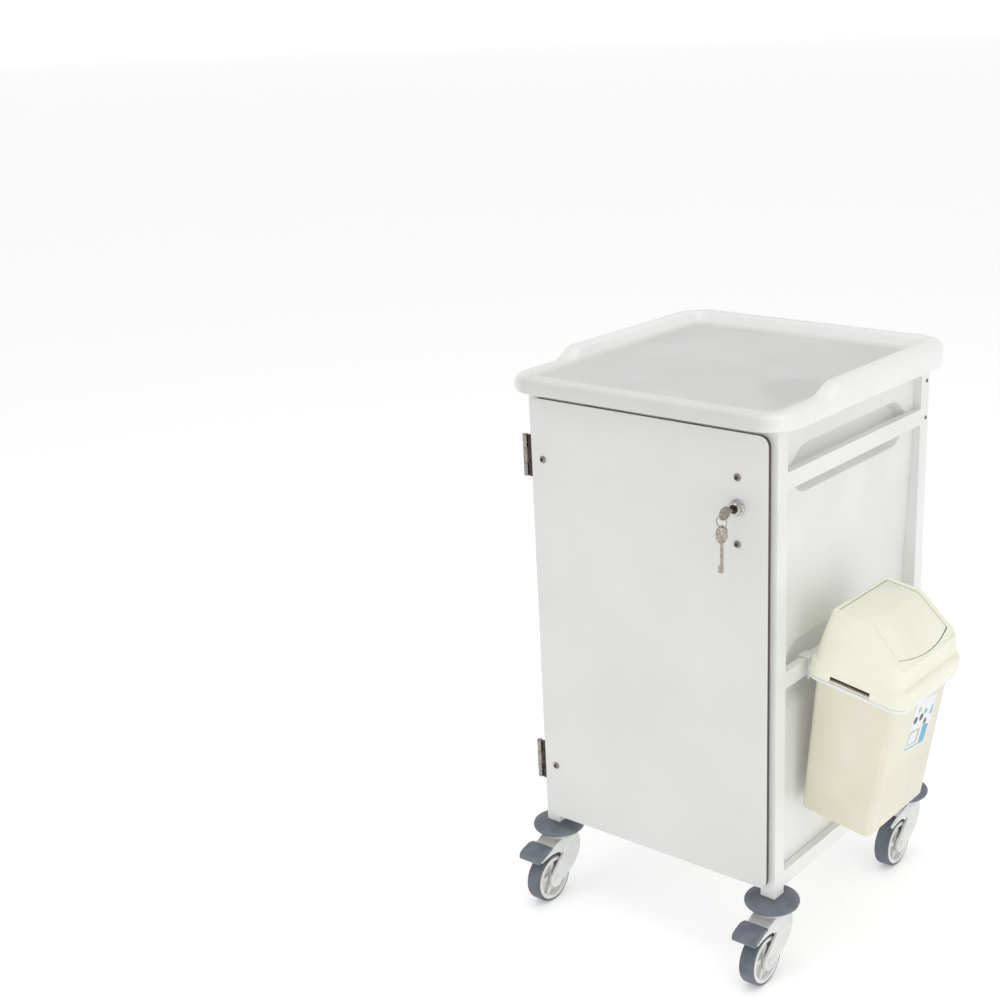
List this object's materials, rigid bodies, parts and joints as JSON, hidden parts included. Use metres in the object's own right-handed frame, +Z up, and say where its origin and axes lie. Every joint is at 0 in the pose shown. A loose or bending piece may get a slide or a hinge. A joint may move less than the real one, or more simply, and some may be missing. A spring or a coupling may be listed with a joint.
{
  "type": "bedside cabinet",
  "caption": "White ward bedside cabinet on swivel castors: raised-rim tray top, tube frame with side rails, lockable door, and a cream swing-lid bin hung on its right side.",
  "frame": {"origin": "on the floor, under the middle of the whole box, bin and castors included", "axes": "+X to the cabinet's right, where the bin hangs; +Y to its back; +Z up"},
  "size_m": [0.6332, 0.539, 0.897],
  "materials": {
    "tray": "smooth moulded, slightly glossy",
    "frame": "white powder coat",
    "moulding": "smooth satin moulding",
    "laminate": "fine-textured laminate with a dark core",
    "steel": "satin",
    "chrome": "polished",
    "buffer": "matt slate grey",
    "tyre": "matt grey rubber",
    "castor": "satin off-white",
    "bin": "satin cream",
    "lid": "satin pale cream"
  },
  "bodies": {
    "cabinet": {"tray_top": "tray", "side_frame_left": "frame", "side_frame_right": "frame", "cross_rail_top_front": "frame", "cross_rail_top_back": "frame", "cross_rail_bottom_front": "frame", "cross_rail_bottom_back": "frame", "side_panel_left": "moulding", "side_panel_right": "moulding", "back_panel": "moulding", "base_panel": "moulding", "shelf": "moulding", "hinge_leaf_frame_upper": "steel", "hinge_leaf_frame_lower": "steel", "lock_strike": "steel", "bin_bracket": "frame", "buffer_front_left": "buffer", "buffer_front_right": "buffer", "buffer_rear_left": "buffer", "buffer_rear_right": "buffer"},
    "door": {"door_panel": "laminate", "hinge_leaf_door_upper": "steel", "hinge_leaf_door_lower": "steel", "door_bolt_hinge_upper": "steel", "door_bolt_hinge_lower": "steel", "door_bolt_lock_upper": "steel", "door_bolt_lock_lower": "steel", "lock_case": "steel", "lock_barrel": "chrome"},
    "lock": {"lock_plug": "chrome", "lock_cam": "steel", "key": "steel"},
    "keys": {"key_ring": "chrome", "spare_key": "steel"},
    "bin": {"bin_body": "bin"},
    "bin_lid": {"bin_hood": "lid"},
    "flap": {"bin_flap": "lid"},
    "castor_front_left": {"fork_front_left": "castor", "axle_front_left": "steel"},
    "wheel_front_left": {"hub_front_left": "castor", "tyre_front_left": "tyre"},
    "castor_front_right": {"fork_front_right": "castor", "axle_front_right": "steel"},
    "wheel_front_right": {"hub_front_right": "castor", "tyre_front_right": "tyre"},
    "castor_rear_left": {"fork_rear_left": "castor", "axle_rear_left": "steel"},
    "wheel_rear_left": {"hub_rear_left": "castor", "tyre_rear_left": "tyre"},
    "castor_rear_right": {"fork_rear_right": "castor", "axle_rear_right": "steel"},
    "wheel_rear_right": {"hub_rear_right": "castor", "tyre_rear_right": "tyre"},
    "pedal_front_left": {"pedal_front_left": "buffer"},
    "pedal_front_right": {"pedal_front_right": "buffer"}
  },
  "joints": [
    {"name": "door_hinge", "type": "hinge", "parent": "cabinet", "child": "door", "pos_m": [-0.29555, -0.20375, 0.5], "axis": [0, 0, -1], "range_deg": [0, 240]},
    {"name": "lock_turn", "type": "hinge", "parent": "door", "child": "lock", "pos_m": [0.08895, -0.222, 0.74], "axis": [0, -1, 0], "range_deg": [0, 90]},
    {"name": "key_ring_swing", "type": "hinge", "parent": "lock", "child": "keys", "pos_m": [0.08895, -0.2509, 0.7384], "axis": [-1, 0, 0], "range_deg": [-10, 80]},
    {"name": "bin_lift", "type": "slide", "parent": "cabinet", "child": "bin", "axis": [0.1616, 0, 0.9869], "range_m": [0, 0.24]},
    {"name": "bin_lid_lift", "type": "slide", "parent": "bin", "child": "bin_lid", "axis": [0.1616, 0, 0.9869], "range_m": [0, 0.12]},
    {"name": "flap_swing", "type": "hinge", "parent": "bin_lid", "child": "flap", "pos_m": [0.26428, -0.0447, 0.54419], "axis": [0, 1, 0], "range_deg": [0, 50]},
    {"name": "swivel_front_left", "type": "hinge", "parent": "cabinet", "child": "castor_front_left", "pos_m": [-0.27455, -0.1895, 0.12], "axis": [0, 0, 1], "continuous": true},
    {"name": "roll_front_left", "type": "hinge", "parent": "castor_front_left", "child": "wheel_front_left", "pos_m": [-0.27455, -0.2225, 0.04065], "axis": [1, 0, 0], "continuous": true},
    {"name": "swivel_front_right", "type": "hinge", "parent": "cabinet", "child": "castor_front_right", "pos_m": [0.13545, -0.1895, 0.12], "axis": [0, 0, 1], "continuous": true},
    {"name": "roll_front_right", "type": "hinge", "parent": "castor_front_right", "child": "wheel_front_right", "pos_m": [0.13545, -0.2225, 0.04065], "axis": [1, 0, 0], "continuous": true},
    {"name": "swivel_rear_left", "type": "hinge", "parent": "cabinet", "child": "castor_rear_left", "pos_m": [-0.27455, 0.2275, 0.12], "axis": [0, 0, 1], "continuous": true},
    {"name": "roll_rear_left", "type": "hinge", "parent": "castor_rear_left", "child": "wheel_rear_left", "pos_m": [-0.27455, 0.1945, 0.04065], "axis": [1, 0, 0], "continuous": true},
    {"name": "swivel_rear_right", "type": "hinge", "parent": "cabinet", "child": "castor_rear_right", "pos_m": [0.13545, 0.2275, 0.12], "axis": [0, 0, 1], "continuous": true},
    {"name": "roll_rear_right", "type": "hinge", "parent": "castor_rear_right", "child": "wheel_rear_right", "pos_m": [0.13545, 0.1945, 0.04065], "axis": [1, 0, 0], "continuous": true},
    {"name": "brake_front_left", "type": "hinge", "parent": "castor_front_left", "child": "pedal_front_left", "pos_m": [-0.27455, -0.2355, 0.1], "axis": [1, 0, 0], "range_deg": [0, 8]},
    {"name": "brake_front_right", "type": "hinge", "parent": "castor_front_right", "child": "pedal_front_right", "pos_m": [0.13545, -0.2355, 0.1], "axis": [1, 0, 0], "range_deg": [0, 8]}
  ]
}
